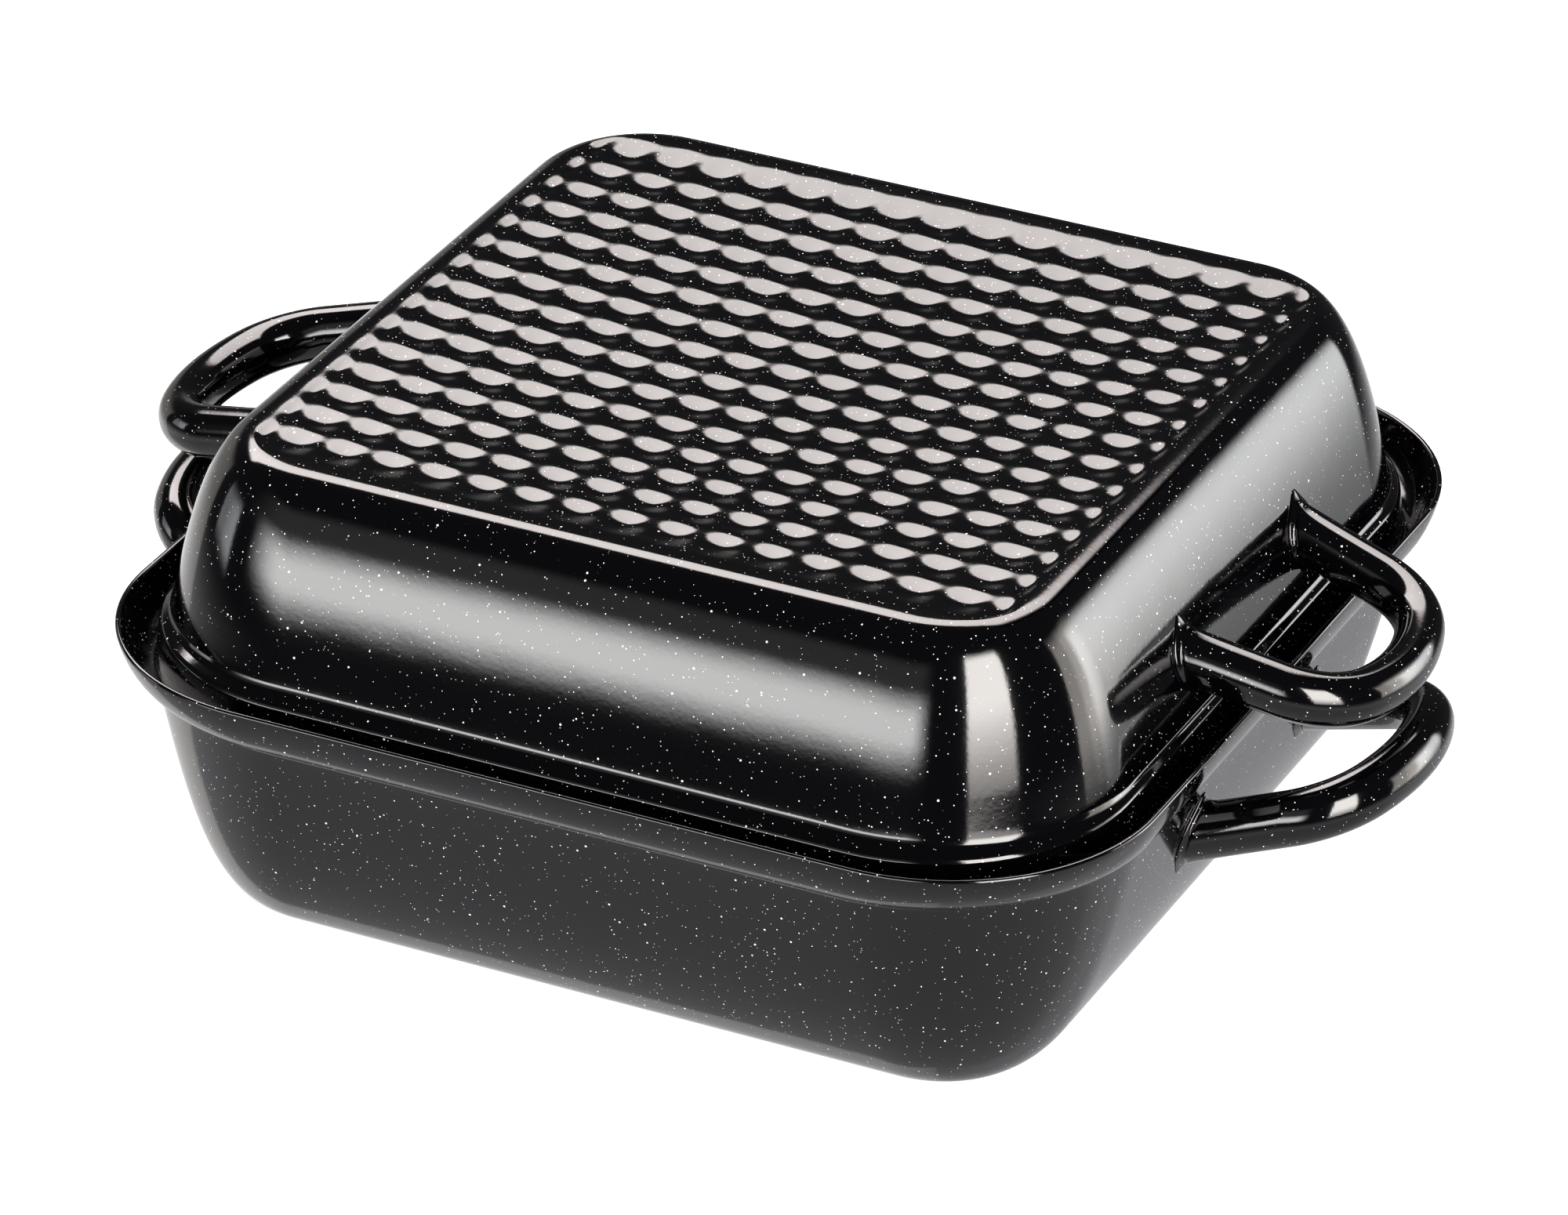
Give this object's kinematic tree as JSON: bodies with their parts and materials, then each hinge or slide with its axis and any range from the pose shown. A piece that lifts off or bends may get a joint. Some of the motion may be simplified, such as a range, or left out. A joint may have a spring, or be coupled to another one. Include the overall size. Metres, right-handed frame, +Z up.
{
  "type": "covered roasting pan",
  "caption": "Square enamelled roasting pan with tubular side handles, closed by a shallower dimpled grill pan turned upside down as its lift-off lid.",
  "frame": {"origin": "middle of the underside of the roaster's flat base, which is also the middle of the footprint", "axes": "+X from the left handles to the right handles, +Y towards the back, +Z up"},
  "size_m": [0.3842, 0.305, 0.1377],
  "materials": {
    "roaster_body": "glossy black vitreous enamel with fine white speckles",
    "roaster_handle_left": "glossy black vitreous enamel with fine white speckles",
    "roaster_handle_right": "glossy black vitreous enamel with fine white speckles",
    "grill_pan_body": "glossy black vitreous enamel with fine white speckles",
    "grill_pan_handle_left": "glossy black vitreous enamel with fine white speckles",
    "grill_pan_handle_right": "glossy black vitreous enamel with fine white speckles"
  },
  "bodies": {
    "roaster": {"roaster_body": "roaster_body", "roaster_handle_left": "roaster_handle_left", "roaster_handle_right": "roaster_handle_right"},
    "grill_pan": {"grill_pan_body": "grill_pan_body", "grill_pan_handle_left": "grill_pan_handle_left", "grill_pan_handle_right": "grill_pan_handle_right"}
  },
  "joints": [
    {"name": "lid_lift", "type": "slide", "parent": "roaster", "child": "grill_pan", "axis": [0, 0, 1], "range_m": [0, 0.15]}
  ]
}
